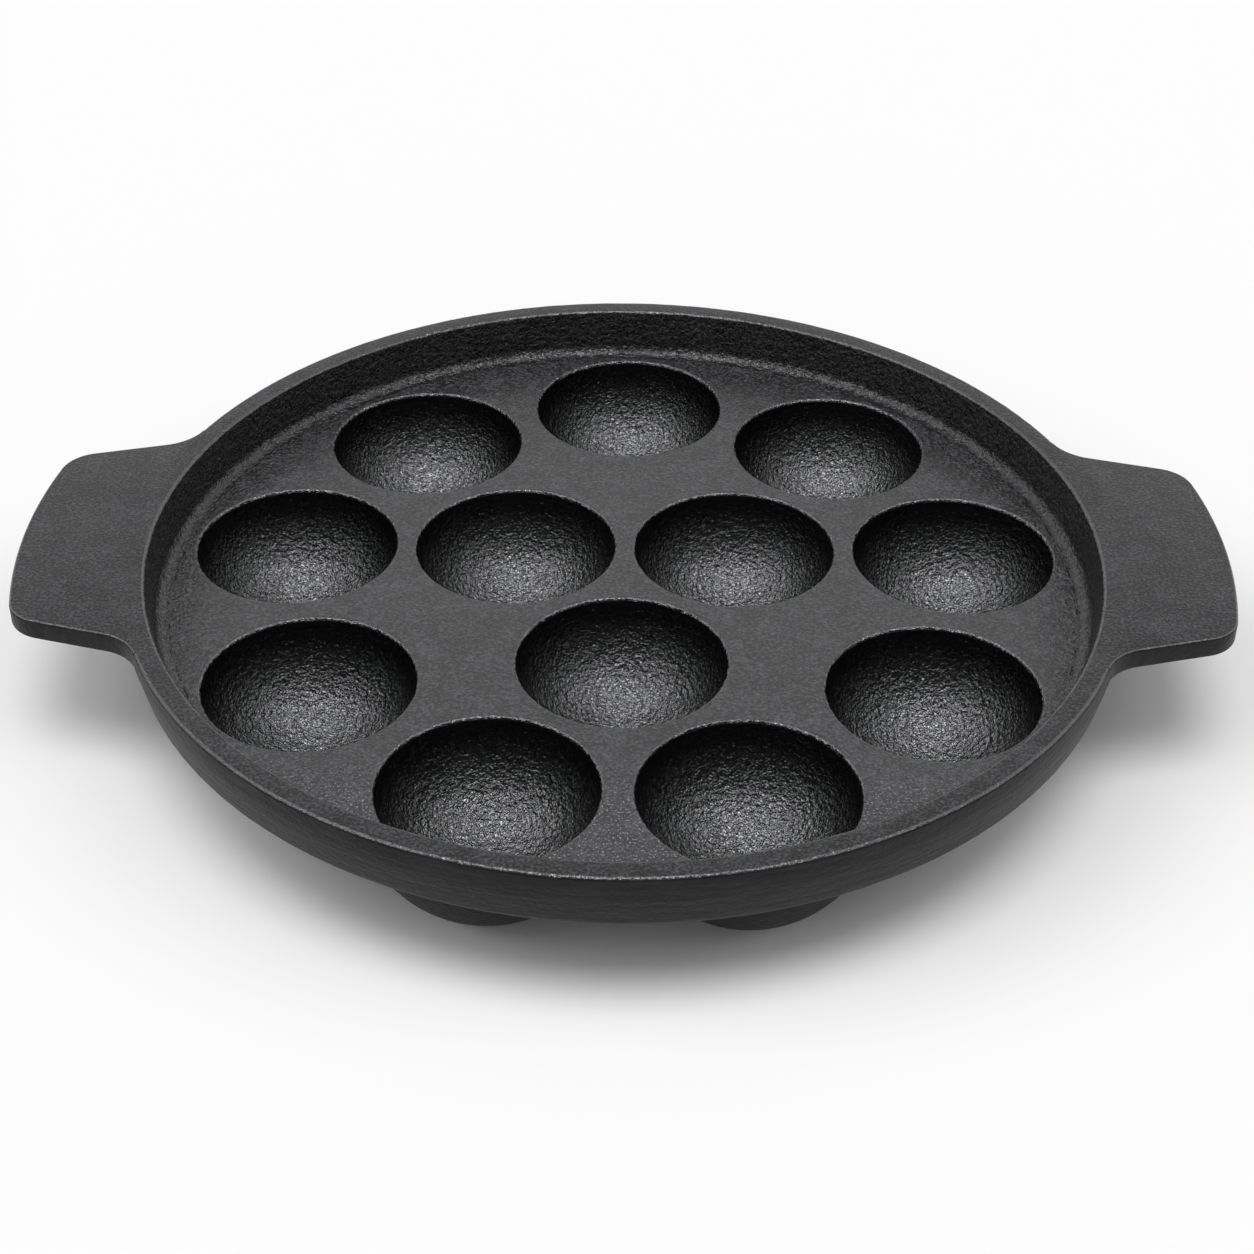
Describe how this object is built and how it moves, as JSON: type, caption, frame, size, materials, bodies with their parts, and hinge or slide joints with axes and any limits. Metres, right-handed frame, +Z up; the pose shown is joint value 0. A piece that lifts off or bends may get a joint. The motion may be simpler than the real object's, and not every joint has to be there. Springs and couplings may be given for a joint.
{
  "type": "paniyaram pan",
  "caption": "Round cast-iron pan with a raised rim, two flat lug handles and rings of hemispherical cups for cooking batter dumplings.",
  "frame": {"origin": "under the centre of the pan, in the plane of the cups' flat feet", "axes": "+X towards the right handle, along the line through both handles; +Z up, out of the cups; +Y away from the viewer in the picture"},
  "size_m": [0.2864, 0.2364, 0.0407],
  "materials": {
    "tray_iron": "satin seasoned cast iron with a fine sand grain",
    "cup_iron": "seasoned cast iron with a pebbled mould skin"
  },
  "bodies": {
    "root": {"deck_plate": "tray_iron", "rim_front": "tray_iron", "rim_right": "tray_iron", "rim_back": "tray_iron", "rim_left": "tray_iron", "handle_left": "tray_iron", "handle_right": "tray_iron", "cup_inner_1": "cup_iron", "cup_inner_2": "cup_iron", "cup_inner_3": "cup_iron", "cup_outer_1": "cup_iron", "cup_outer_2": "cup_iron", "cup_outer_3": "cup_iron", "cup_outer_4": "cup_iron", "cup_outer_5": "cup_iron", "cup_outer_6": "cup_iron", "cup_outer_7": "cup_iron", "cup_outer_8": "cup_iron", "cup_outer_9": "cup_iron"}
  },
  "joints": []
}
